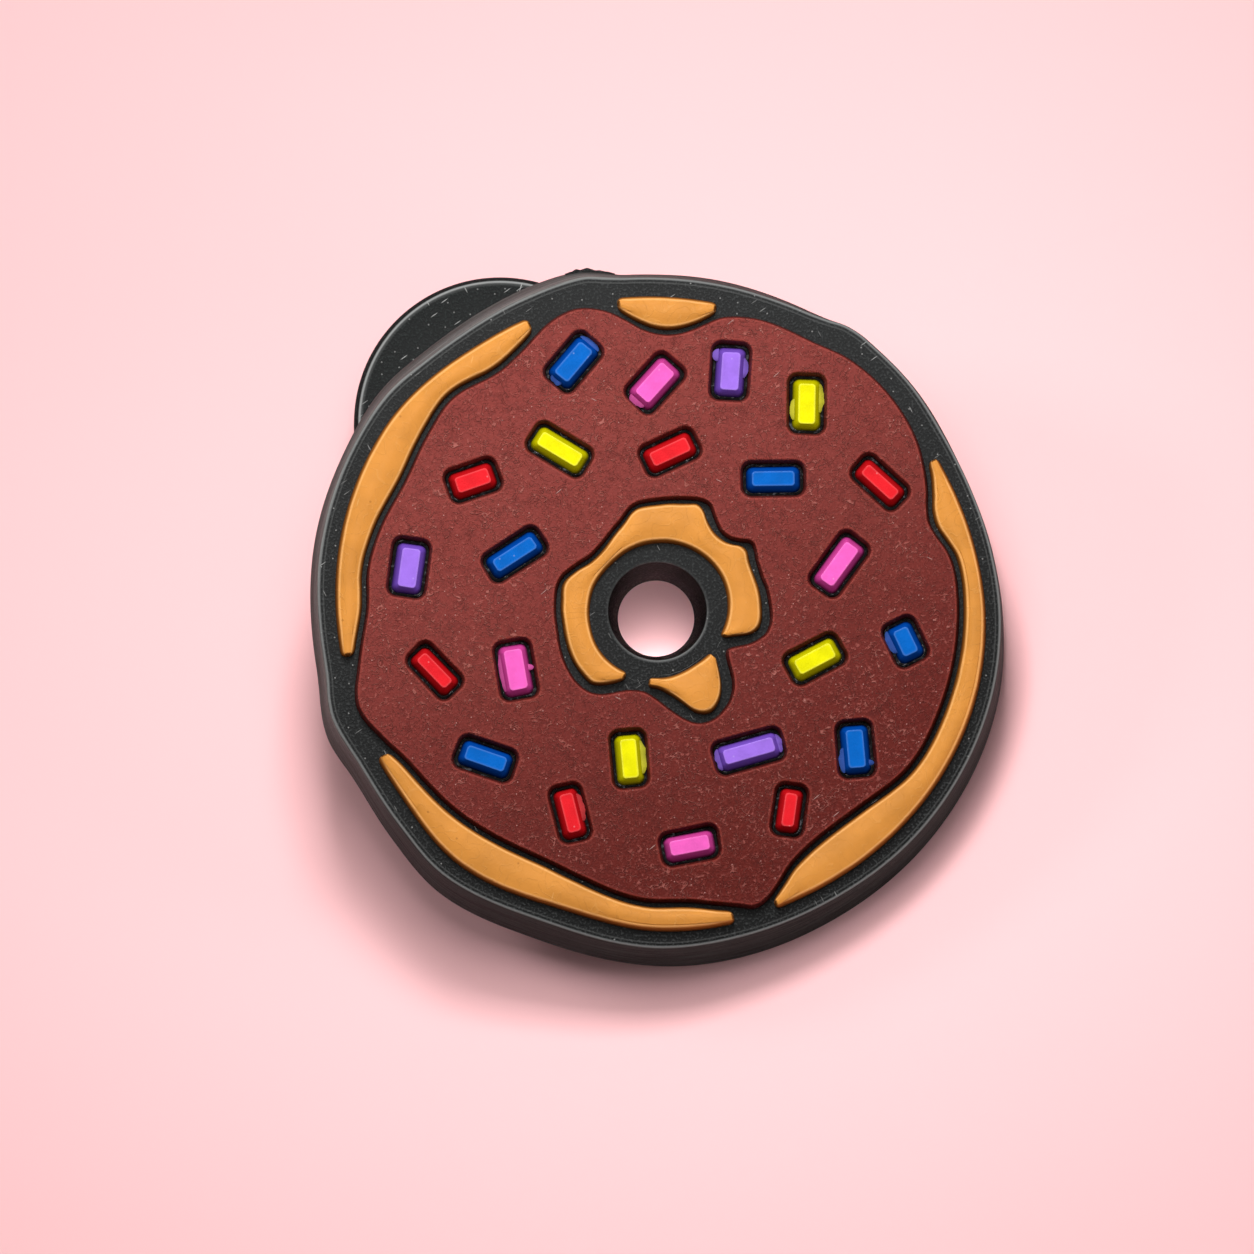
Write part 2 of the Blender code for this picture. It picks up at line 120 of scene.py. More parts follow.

# The hole's wall, from its back to its rim: (radius, height over the face, painted highlight).
HOLE_PROFILE = (
    (HOLE_BACK_RADIUS + 0.1, -PLATE_THICKNESS, 0.0),
    (HOLE_BACK_RADIUS + 0.03, 0.03 - PLATE_THICKNESS, 0.0),
    (HOLE_BACK_RADIUS, 0.1 - PLATE_THICKNESS, 0.0), (1.9, -1.4, 0.0),
    (HOLE_RIM_RADIUS - 0.03, -0.2, 0.0), (HOLE_RIM_RADIUS, -0.08, 0.3),
    (HOLE_RIM_RADIUS + 0.03, -0.02, 0.8), (HOLE_RIM_RADIUS + 0.08, 0.0, 0.3),
    (HOLE_RIM_RADIUS + 0.14, 0.0, 0.0),
)

# The disc's edge: (distance in from its side, distance back from its front, painted highlight).
DISC_FRONT_PROFILE = (
    (0.42, 0.0, 0.0), (0.31, -0.004, 0.2), (0.26, -0.012, 1.0), (0.22, 0.005, 1.0),
    (0.17, 0.06, 0.0), (0.06, 0.16, 0.0), (0.02, 0.24, 0.0), (0.006, 0.34, 0.0),
)
# The same from its back: (distance in from its side, distance forward from its back).
DISC_BACK_PROFILE = ((0.012, 0.34), (0.038, 0.2), (0.12, 0.08), (0.3, 0.0), (0.4, 0.0))

# How far the plate's wall dents in, at least and from its unevenness, and how far under the
# face its edge still has the face's finish.
LEAST_DENT = 0.007
UNEVEN_DENT = 0.03
FACE_DEPTH = 0.04

# Thin threads of black flash on the plate's face, as points that each runs through.
THREADS = (
    ((-1.27, -2.88), (-1.0, -3.02), (-0.75, -3.06), (-0.5, -3.0), (-0.42, -2.86)),
    ((0.1, -2.78), (0.5, -2.75), (1.0, -2.6), (1.4, -2.38), (1.75, -2.12), (2.05, -1.87)),
    ((2.56, -1.62), (2.66, -1.4), (2.79, -1.19)),
    ((2.5, -1.74), (2.62, -1.95), (2.73, -2.25), (2.82, -2.5)),
)
THREAD_WIDTH = 0.035
THREAD_HEIGHT = 0.03

# The torn skin low on the plate's wall, at its upper side in the photograph: from and to in
# degrees, how deep its root lies, the heights of its root's foot and top and of its tip's top
# and foot, and its peaks, as where each is and half its width in degrees, and its reach out.
TORN_SKIN_SPAN = (96.8, 104.8)
TORN_SKIN_STEPS = 40
TORN_SKIN_ROOT = 0.1
TORN_SKIN_HEIGHTS = (-3.0, -2.66, -2.78, -2.84)
TORN_SKIN_PEAKS = (
    (103.9, 0.6, 0.03), (102.9, 0.9, 0.1), (101.1, 1.5, 0.12), (99.2, 1.3, 0.05), (97.9, 1.0, 0.03),
)

# The direction, in degrees, in which the painted highlight on the hole's rim is strongest.
GLINT_DIRECTION = 290.0

# Coloured flash beside some sprinkles: side (0 is the end that the bar points to, then
# anticlockwise), from and to along that side, and reach out from the sprinkle's foot.
FLASH = {
    "sprinkle_pink_3": ((3, -0.7, 0.75, 0.06), (1, -0.1, 0.15, 0.15)),
    "sprinkle_pink_1": ((0, -0.7, 0.5, 0.15),),
    "sprinkle_blue_1": ((2, -0.8, 0.8, 0.14), (0, -0.6, 0.3, 0.12)),
    "sprinkle_blue_4": ((1, -0.9, 0.3, 0.17),),
    "sprinkle_blue_6": ((3, -0.1, 0.9, 0.13), (1, -0.7, -0.45, 0.1)),
    "sprinkle_purple_1": ((1, -0.9, -0.4, 0.17), (3, -0.2, 0.6, 0.12)),
    "sprinkle_yellow_4": ((1, -0.6, 0.7, 0.16),),
    "sprinkle_yellow_1": ((1, -0.2, 0.6, 0.1), (3, -0.3, 0.8, 0.12)),
    "sprinkle_purple_3": ((2, -0.8, 0.8, 0.12), (0, -0.7, 0.7, 0.12)),
    "sprinkle_red_5": ((3, -0.4, 0.7, 0.14),),
}

# The share of its full width that a strip of dough has at its first and last CAD sections.
DOUGH_TIP_FULLNESS = (0.62, 0.84, 0.97)

# The height of the dough's ridge, the height that ends a tip, and how far from its end a tip
# narrows and slopes.
DOUGH_RIDGE_HEIGHT = 0.595
TIP_HEIGHT = 0.56
TIP_REACH = 0.3
TIP_DRAFT = 0.12

# Where cross-sections of the dough lie near a tip, the spacing of the others, and the top
# between the two edges: (place from the middle to a side, share of the ridge's rise).
TIP_SECTIONS = (0.004, 0.014, 0.03, 0.055, 0.085, 0.112, 0.135, 0.165, 0.21, 0.26, 0.32)
TIP_LENGTH = 0.4
SECTION_SPACING = 0.12
DOUGH_TOP = ((-0.4, 0.55), (-0.15, 0.95), (0.0, 1.0), (0.2, 0.93), (0.5, 0.45))

# Where each kind of unevenness starts in the noise. The place in a list is added to it.
WALL_SEED = 3.0
RIM_SEED = 10.0
FINE_RIM_SEED = 40.0
POCKET_SEED = 70.0
SPRINKLE_SEED = 130.0
FINE_SPRINKLE_SEED = 150.0
DOUGH_SEED = 160.0
FLASH_SEED = 200.0
FLASH_LIFT_SEED = 230.0

# Colours of the moulded plastics.
FACE_BLACK = (0.0116, 0.0122, 0.0122, 1.0)
# The hole's black is the face's black made darker: painted shade inside the hole.
HOLE_SHADED_BLACK = (0.0012, 0.0016, 0.0016, 1.0)
DISC_BLACK = (0.0073, 0.0084, 0.0082, 1.0)
SPRINKLE_COLOURS = {
    "blue": (0.0, 0.098, 0.41, 1.0),
    "pink": (0.7, 0.096, 0.415, 1.0),
    "purple": (0.26, 0.125, 0.58, 1.0),
    "red": (0.605, 0.0115, 0.018, 1.0),
    "yellow": (0.64, 0.61, 0.0, 1.0),
}

# The camera, on the plate's face: what it looks at, from which direction and how far away,
# and the width that it sees there.
VIEW_TARGET = (-1.315, -0.69, 0.0)
VIEW_DIRECTION = (-0.02, -0.104, 0.994)
VIEW_DISTANCE = 2000.0
VIEW_WIDTH = 54.05
SENSOR_WIDTH = 36.0

# Lights over the face: name, azimuth and elevation in degrees, distance, what it faces, size,
# watts and spread in degrees.
LIGHTS = (
    ("key", 97, 54, 140, (0, 0, 0), 40, 0.168, 180),
    ("side", 155, 20, 120, (0, 0, 0), 30, 0.028, 180),
    ("fill", -8, 40, 120, (0, 0, 0), 40, 0.02, 180),
    ("overhead", 110, 74, 100, (0, 1, -4), 44, 0.006, 55),
)

# The light on the floor that shows through the hole: place, what it faces, size, watts, spread.
HOLE_LIGHT = ((-0.3, -4.0, -6.2), (0.1, -2.0, -9.2), 2.5, 0.00024, 100)

# The floor's half width in metres and its tones, and the light from all round.
FLOOR_HALF_WIDTH = 1.5
FLOOR_TONES = ((0.96, 0.51, 0.52, 1.0), (0.96, 0.56, 0.575, 1.0))
WORLD_COLOUR = (1.0, 0.97, 0.97, 1.0)
WORLD_STRENGTH = 0.19


# Outlines, read from the CAD and drawn finer.
def flat_loops(bm, height):
    """The border loops of a mesh's flat at a height, the largest first, all anticlockwise."""
    flat = {
        face for face in bm.faces
        if all(abs(vert.co.z - height) < LEVEL_TOLERANCE for vert in face.verts)
    }
    border = [edge for edge in bm.edges if sum(face in flat for face in edge.link_faces) == 1]
    beside = {}
    for edge in border:
        first, second = edge.verts
        beside.setdefault(first, []).append(second)
        beside.setdefault(second, []).append(first)
    loops = []
    left = set(beside)
    while left:
        start = min(left, key=lambda vert: vert.index)
        walk = [start]
        left.discard(start)
        while True:
            following = [vert for vert in beside[walk[-1]] if vert in left]
            if not following:
                break
            walk.append(following[0])
            left.discard(following[0])
        loops.append([vert.co.copy() for vert in walk])
    for loop in loops:
        if signed_area(loop) < 0:
            loop.reverse()
    return sorted(loops, key=signed_area, reverse=True)


def signed_area(loop):
    """The area inside a loop seen from above, over 0 if it runs anticlockwise."""
    pairs = zip(loop, loop[1:] + loop[:1])
    return sum(a.x * b.y - b.x * a.y for a, b in pairs) / 2


def middle_of(points):
    """The mean of some points."""
    return sum(points, Vector((0, 0, 0))) / len(points)


def node_mesh(node, matrix):
    """A CAD node's mesh with its split vertices joined, moved by a matrix."""
    bm = bmesh.new()
    bm.from_mesh(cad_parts[node].data)
    bm.transform(matrix)
    bmesh.ops.remove_doubles(bm, verts=bm.verts[:], dist=WELD_DISTANCE)
    bm.verts.index_update()
    return bm


def find_face_pose():
    """Where the plate's face lies in the world, worked out from the plate's own mesh."""
    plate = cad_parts["backing_plate"].data
    face = max((p for p in plate.polygons if p.normal.z > 0.5), key=lambda p: p.area)
    lean = math.atan2(-face.normal.y, face.normal.z)
    roll = math.radians(90 - STUD_DIRECTION)
    turn = Matrix.Rotation(lean, 4, "X") @ Matrix.Rotation(roll, 4, "Z")
    height = (turn.inverted() @ face.center).z / MM
    bm = node_mesh("backing_plate", Matrix.Scale(1 / MM, 4) @ turn.inverted())
    hole = flat_loops(bm, height)[-1]
    bm.free()
    return turn @ Matrix.Translation(middle_of(hole) * MM)


face_pose = find_face_pose()
to_face = Matrix.Scale(1 / MM, 4) @ face_pose.inverted()


def closed_curve(points):
    """The radius at any angle, on a smooth closed curve through points round the hole."""
    polar = sorted((math.degrees(math.atan2(p.y, p.x)) % 360, p.xy.length) for p in points)
    angles = [angle for angle, _ in polar]
    radii = [radius for _, radius in polar]
    count = len(polar)

    def slope(k):
        before, after = k - 1, (k + 1) % count
        return (radii[after] - radii[before]) / ((angles[after] - angles[before]) % 360)

    def radius_at(angle):
        k = bisect.bisect_right(angles, angle % 360) - 1
        after = (k + 1) % count
        span = (angles[after] - angles[k]) % 360
        t = ((angle - angles[k]) % 360) / span
        ends = radii[k] * (1 + 2 * t) * (1 - t) ** 2 + radii[after] * (3 - 2 * t) * t ** 2
        return ends + span * (slope(k) * t * (1 - t) ** 2 - slope(after) * t ** 2 * (1 - t))

    return radius_at


def on_face(angle, radius, height=0.0):
    """The point at an angle and radius about the hole, at a height over the plate's face."""
    turn = math.radians(angle)
    return Vector((radius * math.cos(turn), radius * math.sin(turn), height))


def outline(radius_at, steps):
    """A flat loop of points on a closed curve."""
    return [on_face(360 * k / steps, radius_at(360 * k / steps)) for k in range(steps)]


def circle(radius, steps, centre=Vector((0, 0, 0))):
    """A flat loop of points on a circle."""
    return [centre + on_face(360 * k / steps, radius) for k in range(steps)]


def moved_out(loop, distance, height):
    """A flat loop moved out along its own normals, and set at a height."""
    moved = []
    for k, point in enumerate(loop):
        along = (loop[(k + 1) % len(loop)] - loop[k - 1]).normalized()
        moved.append(Vector((point.x + along.y * distance, point.y - along.x * distance, height)))
    return moved


def rounded_bar(bar, grown, corner, steps):
    """A flat loop on a rectangle with round corners, grown on every side."""
    centre, direction, length, width = bar
    turn = Matrix.Rotation(direction, 3, "Z")
    loop = []
    for quarter, (across, along) in enumerate(((1, 1), (-1, 1), (-1, -1), (1, -1))):
        reach_x = across * (length / 2 + grown - corner)
        reach_y = along * (width / 2 + grown - corner)
        for k in range(steps + 1):
            arc = 90 * (quarter + k / steps)
            loop.append(centre + turn @ (Vector((reach_x, reach_y, 0)) + on_face(arc, corner)))
    return loop


def measure_bar(node):
    """The centre, direction, length and width of a CAD sprinkle."""
    bm = node_mesh(node, to_face)
    loop = flat_loops(bm, SEAM)[0]
    bm.free()
    pairs = list(zip(loop, loop[1:] + loop[:1]))
    first, second = max(pairs, key=lambda pair: (pair[1] - pair[0]).length)
    along = (second - first).normalized()
    across = Vector((-along.y, along.x, 0))
    centre = middle_of(loop)
    centre.z = 0
    spans = []
    for axis in (along, across):
        reaches = [(point - centre).dot(axis) for point in loop]
        spans.append(max(reaches) - min(reaches))
    return centre, math.atan2(along.y, along.x), spans[0], spans[1]


# Meshes.
def new_mesh():
    """An empty mesh whose vertices hold their crest_highlight: the share of painted highlight on
    them.
    """
    bm = bmesh.new()
    bm.verts.layers.float.new("crest_highlight")
    return bm


def add_stack(bm, loops, crest_highlights=None, closed=False, material=0):
    """Adds loops of equally many points, joins each to the next, and returns their rings."""
    layer = bm.verts.layers.float["crest_highlight"]
    rings = []
    for index, loop in enumerate(loops):
        ring = [bm.verts.new(point * MM) for point in loop]
        for vert in ring:
            vert[layer] = crest_highlights[index] if crest_highlights else 0.0
        rings.append(ring)
    join_rings(bm, rings + rings[:1] if closed else rings, material)
    return rings


def join_rings(bm, rings, material=0):
    """Joins each ring of vertices to the next."""
    for lower, upper in zip(rings, rings[1:]):
        for k, vert in enumerate(lower):
            after = (k + 1) % len(lower)
            face = bm.faces.new((vert, lower[after], upper[after], upper[k]))
            face.material_index = material


def close_ends(bm, rings):
    """Closes the first and the last of some rings, each with one face."""
    for ring in (rings[0], rings[-1]):
        bm.faces.new(ring)


def fill_between(bm, rings):
    """Fills the flat that lies between one outer ring of vertices and its holes."""
    edges = []
    for ring in rings:
        for k, vert in enumerate(ring):
            edges.append(bm.edges.get((vert, ring[(k + 1) % len(ring)])))
    bmesh.ops.triangle_fill(bm, use_beauty=True, edges=edges)


def cut_by_floor(bm):
    """Takes off what lies under the floor, and closes the flat that this leaves."""
    level = face_pose.inverted()
    geometry = bm.verts[:] + bm.edges[:] + bm.faces[:]
    cut = bmesh.ops.bisect_plane(
        bm, geom=geometry, plane_co=level @ Vector((0, 0, 0)),
        plane_no=level.to_3x3() @ Vector((0, 0, 1)), clear_inner=True,
    )
    border = [item for item in cut["geom_cut"] if isinstance(item, bmesh.types.BMEdge)]
    bmesh.ops.contextual_create(bm, geom=border)


def make_piece(node, bm, materials):
    """Turns a mesh into the piece that stands for a CAD node."""
    bmesh.ops.recalc_face_normals(bm, faces=bm.faces[:])
    mesh = bpy.data.meshes.new("moulded_" + node)
    bm.transform(face_pose)
    bm.to_mesh(mesh)
    bm.free()
    mesh.shade_smooth()
    mesh.set_sharp_from_angle(angle=math.radians(SHARP_ANGLE))
    for material in materials:
        mesh.materials.append(material)
    piece = bpy.data.objects.new("moulded_" + node, mesh)
    bpy.context.collection.objects.link(piece)
    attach(piece, "root")
    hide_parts(node)


def uneven(point, spacing, seed):
    """Smooth noise from -1 to 1 whose features are about a spacing wide."""
    return noise.noise(point / spacing + Vector((seed, 0, 0)))


# Materials.
class Finish:
    """A material being made, with short calls for the nodes that the finishes share."""

    def __init__(self, name):
        self.material = bpy.data.materials.new(name)
        self.material.use_nodes = True
        self.tree = self.material.node_tree
        self.shader = self.tree.nodes["Principled BSDF"]
        onto_face = self.tree.nodes.new("ShaderNodeMapping")
        onto_face.vector_type = "TEXTURE"
        onto_face.inputs["Location"].default_value = face_pose.to_translation()
        onto_face.inputs["Rotation"].default_value = face_pose.to_euler()
        onto_face.inputs["Scale"].default_value = (MM, MM, MM)
        place = self.tree.nodes.new("ShaderNodeTexCoord").outputs["Object"]
        self.tree.links.new(place, onto_face.inputs["Vector"])
        self.place = onto_face.outputs["Vector"]

    def fill(self, socket, value):
        """Links a socket to another, or sets it."""
        if isinstance(value, bpy.types.NodeSocket):
            self.tree.links.new(value, socket)
        else:
            socket.default_value = value

    def stretched(self, x, y, z):
        """The place on the face with each axis multiplied."""
        node = self.tree.nodes.new("ShaderNodeVectorMath")
        node.operation = "MULTIPLY"
        self.fill(node.inputs[0], self.place)
        self.fill(node.inputs[1], (x, y, z))
        return node.outputs[0]

    def maths(self, operation, *values):
        """The result of a sum, product or other operation on some values."""
        node = self.tree.nodes.new("ShaderNodeMath")
        node.operation = operation
        for socket, value in zip(node.inputs, values):
            self.fill(socket, value)
        return node.outputs[0]

    def height(self):
        """The height over the plate's face, in millimetres."""
        node = self.tree.nodes.new("ShaderNodeSeparateXYZ")
        self.fill(node.inputs[0], self.place)
        return node.outputs["Z"]

    def across(self, direction, low, high):
        """From 0 to 1 across the face, between two places along a direction in degrees."""
        turn = math.radians(direction)
        node = self.tree.nodes.new("ShaderNodeVectorMath")
        node.operation = "DOT_PRODUCT"
        self.fill(node.inputs[0], self.place)
        self.fill(node.inputs[1], (math.cos(turn), math.sin(turn), 0))
        return self.ramp(node.outputs["Value"], low, high)

    def crest_highlight(self):
        """The painted highlight that the mesh holds: 1 on a moulded crest, 0 elsewhere."""
        node = self.tree.nodes.new("ShaderNodeAttribute")
        node.attribute_name = "crest_highlight"
        return node.outputs["Fac"]

    def noise(self, per_mm, detail=2.0, distortion=0.0, place=None):
        """Smooth noise about 0.5, with so many features to a millimetre."""
        node = self.tree.nodes.new("ShaderNodeTexNoise")
        self.fill(node.inputs["Vector"], place or self.place)
        node.inputs["Scale"].default_value = per_mm
        node.inputs["Detail"].default_value = detail
        node.inputs["Distortion"].default_value = distortion
        return node.outputs["Fac"]

    def ramp(self, value, low, high, start=0.0, end=1.0):
        """The value as it goes from low to high, smoothly, as start to end."""
        node = self.tree.nodes.new("ShaderNodeMapRange")
        node.interpolation_type = "SMOOTHSTEP"
        self.fill(node.inputs["Value"], value)
        node.inputs["From Min"].default_value = low
        node.inputs["From Max"].default_value = high
        node.inputs["To Min"].default_value = start
        node.inputs["To Max"].default_value = end
        return node.outputs["Result"]

    def fibres(self, per_mm, width, distortion=0.6):
        """Thin winding lines: 1 on a line, 0 between them."""
        value = self.noise(per_mm, 0.0, distortion)
        off = self.maths("ABSOLUTE", self.maths("SUBTRACT", value, 0.5))
        return self.ramp(off, 0.0, width, 1.0, 0.0)

    def dashes(self, direction, per_mm, size, share, stretch=9.0):
        """Short thin scratches along a direction in degrees, in a share of the cells."""
        along = self.tree.nodes.new("ShaderNodeMapping")
        along.vector_type = "TEXTURE"
        along.inputs["Rotation"].default_value = (0, 0, math.radians(direction))
        along.inputs["Scale"].default_value = (stretch, 1, 1)
        self.fill(along.inputs["Vector"], self.place)
        return self.specks(per_mm, size, share, along.outputs["Vector"])

    def facing(self):
        """1 where the surface faces as the plate's face does, 0 on its walls."""
        normal = self.tree.nodes.new("ShaderNodeNewGeometry").outputs["Normal"]
        node = self.tree.nodes.new("ShaderNodeVectorMath")
        node.operation = "DOT_PRODUCT"
        self.fill(node.inputs[0], normal)
        self.fill(node.inputs[1], face_pose.to_3x3() @ Vector((0, 0, 1)))
        return self.ramp(node.outputs["Value"], 0.75, 0.9)

    def specks(self, per_mm, size, share, place=None):
        """Small round specks on what faces up, in a share of the cells."""
        node = self.tree.nodes.new("ShaderNodeTexVoronoi")
        node.voronoi_dimensions = "2D"
        self.fill(node.inputs["Vector"], place or self.place)
        node.inputs["Scale"].default_value = per_mm
        spot = self.ramp(node.outputs["Distance"], size * 0.5, size, 1.0, 0.0)
        chosen = self.tree.nodes.new("ShaderNodeSeparateColor")
        self.fill(chosen.inputs[0], node.outputs["Color"])
        kept = self.maths("LESS_THAN", chosen.outputs[0], share)
        return self.maths("MULTIPLY", spot, self.maths("MULTIPLY", kept, self.facing()))

    def mix(self, factor, first, second):
        """The first colour where the factor is 0, the second where it is 1."""
        node = self.tree.nodes.new("ShaderNodeMix")
        node.data_type = "RGBA"
        self.fill(node.inputs[0], factor)
        self.fill(node.inputs[6], first)
        self.fill(node.inputs[7], second)
        return node.outputs[2]

    def laid_over(self, colour, mask, share, top):
        """A colour with a share of another laid over it, where a mask is 1."""
        return self.mix(self.maths("MULTIPLY", mask, share), colour, top)

    def total(self, *parts):
        """The sum of (value, share) pairs."""
        value = 0.0
        for part, share in parts:
            value = self.maths("MULTIPLY_ADD", part, share, value)
        return value

    def done(self, colour, roughness, height, depth, specular=0.12):
        """Joins the colour, the roughness and the relief, with its depth in millimetres."""
        self.fill(self.shader.inputs["Base Color"], colour)
        self.fill(self.shader.inputs["Roughness"], roughness)
        self.shader.inputs["Specular IOR Level"].default_value = specular
        bump = self.tree.nodes.new("ShaderNodeBump")
        bump.inputs["Distance"].default_value = depth * MM
        self.fill(bump.inputs["Height"], height)
        self.fill(self.shader.inputs["Normal"], bump.outputs["Normal"])
        return self.material


def shade(colour, factor):
    """A colour made lighter or darker, with full alpha."""
    return tuple(min(1.0, part * factor) for part in colour[:3]) + (1.0,)


def deepened(colour, keep, spread):
    """A colour made darker, its weaker parts more than its strongest."""
    strongest = max(colour[:3])
    parts = [part * (keep + spread * part / strongest) for part in colour[:3]]
    return tuple(parts) + (1.0,)


def make_black(name, base, dust_and_highlight, specular=0.09):
    """Satin black PVC with a sandy grain. dust_and_highlight, from 0 to 1, adds specks and
    scratches and strengthens the painted highlight along crests.
    """
    finish = Finish(name)
    grain = finish.noise(9.5, 2.0)
    patches = finish.noise(0.7, 3.0)
    busy = finish.ramp(finish.noise(0.35, 2.0), 0.45, 0.65)
    colour = finish.mix(patches, shade(base, 0.6), shade(base, 1.1))
    # Painted shade: the black darkens towards the lower side of the face, away from the light.
    colour = finish.mix(finish.across(105, -14, 12), shade(base, 0.25), colour)
    colour = finish.mix(finish.ramp(grain, 0.48, 0.7, 0.0, 0.6), colour, shade(base, 4.2))
    specks = finish.specks(1.5, 0.07, 0.3 + 0.4 * dust_and_highlight)
    colour = finish.laid_over(colour, specks, 0.6, (0.3, 0.3, 0.29, 1.0))
    long_scratches = finish.dashes(35, 3.3, 0.08, 0.12 + 0.3 * dust_and_highlight)
    cross_scratches = finish.dashes(118, 2.9, 0.075, 0.08 + 0.3 * dust_and_highlight, 7.0)
    scratches = finish.maths("MAXIMUM", long_scratches, cross_scratches)
    strength = finish.maths("MULTIPLY_ADD", busy, 0.55, 0.25 + 0.35 * dust_and_highlight)
    colour = finish.laid_over(colour, scratches, strength, (0.35, 0.35, 0.34, 1.0))
    hairs = finish.dashes(72, 1.6, 0.04, 0.6 * dust_and_highlight, 16.0)
    colour = finish.laid_over(colour, hairs, 0.8, (0.42, 0.42, 0.41, 1.0))
    # Painted highlight along moulded crests, stronger with dust_and_highlight.
    crest = shade((0.27, 0.275, 0.27), 1.0 + 0.3 * dust_and_highlight)
    colour = finish.laid_over(colour, finish.crest_highlight(), 0.6 + 0.1 * dust_and_highlight, crest)
    roughness = finish.ramp(grain, 0.3, 0.7, 0.42, 0.62)
    relief = finish.total((grain, 1.0), (specks, 1.0), (scratches, 0.6))
    return finish.done(colour, roughness, relief, 0.025, specular)


def make_wall():
    """The plate's cut wall: grey streaks that run round it, with painted light that makes it paler
    just under the face at the upper left.
    """
    finish = Finish("black_wall")
    base = (0.0175, 0.0215, 0.0205, 1.0)
    streaks = finish.noise(3.2, 6.0, 0.4, finish.stretched(0.11, 0.11, 1.3))
    grain = finish.noise(7.0, 3.0)
    mixed = finish.total((streaks, 0.8), (grain, 0.2))
    colour = finish.mix(finish.ramp(mixed, 0.38, 0.64), shade(base, 0.65), shade(base, 2.0))
    # Painted light: paler just under the face on the upper-left side, where the light falls on the
    # wall.
    upper = finish.ramp(finish.height(), -2.6, -0.5, 0.25, 1.0)
    lit = finish.across(150, 4.0, 12.0)
    pale = finish.maths("MULTIPLY", upper, finish.maths("MULTIPLY", lit, 0.4))
    dull = (0.15, 0.164, 0.156, 1.0)
    bright = (0.37, 0.4, 0.383, 1.0)
    pale_tone = finish.mix(finish.ramp(mixed, 0.42, 0.6), dull, bright)
    colour = finish.mix(pale, colour, pale_tone)
    # Painted highlight along the lip's crest.
    colour = finish.laid_over(colour, finish.crest_highlight(), 0.6, (0.28, 0.285, 0.275, 1.0))
    roughness = finish.ramp(streaks, 0.3, 0.7, 0.5, 0.7)
    return finish.done(colour, roughness, mixed, 0.06, specular=0.05)


def make_pocket_floor():
    """Glossy black PVC squeezed up round the sprinkles, with pale patches that are painted
    reflections of its gloss.
    """
    finish = Finish("pocket_floor")
    base = (0.009, 0.0085, 0.0085, 1.0)
    lumps = finish.noise(2.6, 2.0, 0.5)
    # Painted reflections: pale patches where the glossy floor would mirror the light.
    gloss_reflections = finish.ramp(finish.noise(3.2, 3.0, 1.2), 0.56, 0.72)
    colour = finish.mix(lumps, shade(base, 0.6), shade(base, 1.8))
    colour = finish.laid_over(colour, gloss_reflections, 0.4, (0.2, 0.2, 0.22, 1.0))
    roughness = finish.ramp(lumps, 0.35, 0.7, 0.16, 0.4)
    return finish.done(colour, roughness, lumps, 0.12)


def make_icing():
    """Matt red-brown PVC with fine pale winding fibres, specks and scratches, painted light towards
    the upper left, painted shade on its walls and at its foot, and a painted highlight along its
    crests.
    """
    finish = Finish("chocolate_icing")
    grain = finish.noise(11.0, 2.0)
    mottle = finish.noise(2.0, 4.0, 0.3)
    busy = finish.ramp(finish.noise(0.3, 2.0), 0.42, 0.64)
    broken = finish.ramp(finish.noise(2.2, 1.0), 0.46, 0.58)
    fibres = finish.maths("MULTIPLY", finish.fibres(2.4, 0.045, 1.4), broken)
    fine_broken = finish.ramp(finish.noise(3.4, 1.0), 0.44, 0.56)
    fine_fibres = finish.maths("MULTIPLY", finish.fibres(5.4, 0.1, 1.0), fine_broken)
    specks = finish.specks(1.6, 0.06, 0.35)
    long_scratches = finish.dashes(40, 2.6, 0.065, 0.06)
    cross_scratches = finish.dashes(-25, 2.8, 0.06, 0.04)
    scratches = finish.maths("MAXIMUM", long_scratches, cross_scratches)
    # Painted light: the icing lighter towards the upper left and darker towards the lower right.
    lit = finish.across(115, -13, 11)
    colour = finish.mix(lit, (0.088, 0.0075, 0.0045, 1.0), (0.186, 0.0305, 0.0245, 1.0))
    tone = finish.total((mottle, 0.55), (grain, 0.45))
    colour = finish.mix(finish.ramp(tone, 0.35, 0.55, 0.3, 0.0), colour, (0.03, 0.002, 0.0015, 1.0))
    colour = finish.mix(finish.ramp(grain, 0.5, 0.75, 0.0, 0.2), colour, (0.3, 0.075, 0.062, 1.0))
    share = finish.maths("MULTIPLY_ADD", busy, 0.2, 0.36)
    colour = finish.laid_over(colour, fibres, share, (0.42, 0.15, 0.125, 1.0))
    colour = finish.laid_over(colour, fine_fibres, share, (0.32, 0.09, 0.075, 1.0))
    colour = finish.laid_over(colour, specks, 0.6, (0.55, 0.27, 0.24, 1.0))
    colour = finish.laid_over(colour, scratches, 0.5, (0.65, 0.4, 0.36, 1.0))
    # Painted shade: darker down the walls and near black at the foot.
    wall = finish.ramp(finish.height(), 0.5, 0.585, 0.45, 0.0)
    colour = finish.mix(wall, colour, (0.03, 0.0022, 0.0018, 1.0))
    foot = finish.ramp(finish.height(), 0.0, 0.35, 0.65, 0.0)
    colour = finish.mix(foot, colour, (0.012, 0.0012, 0.001, 1.0))
    # Painted highlight along the crests.
    colour = finish.laid_over(colour, finish.crest_highlight(), 0.35, (0.3, 0.055, 0.042, 1.0))
    roughness = finish.ramp(grain, 0.3, 0.7, 0.46, 0.6)
    lines = finish.total((fibres, 0.55), (fine_fibres, 0.35), (scratches, 0.4))
    relief = finish.total((grain, 0.7), (specks, 0.7), (lines, 2.8))
    return finish.done(colour, roughness, relief, 0.028, specular=0.08)


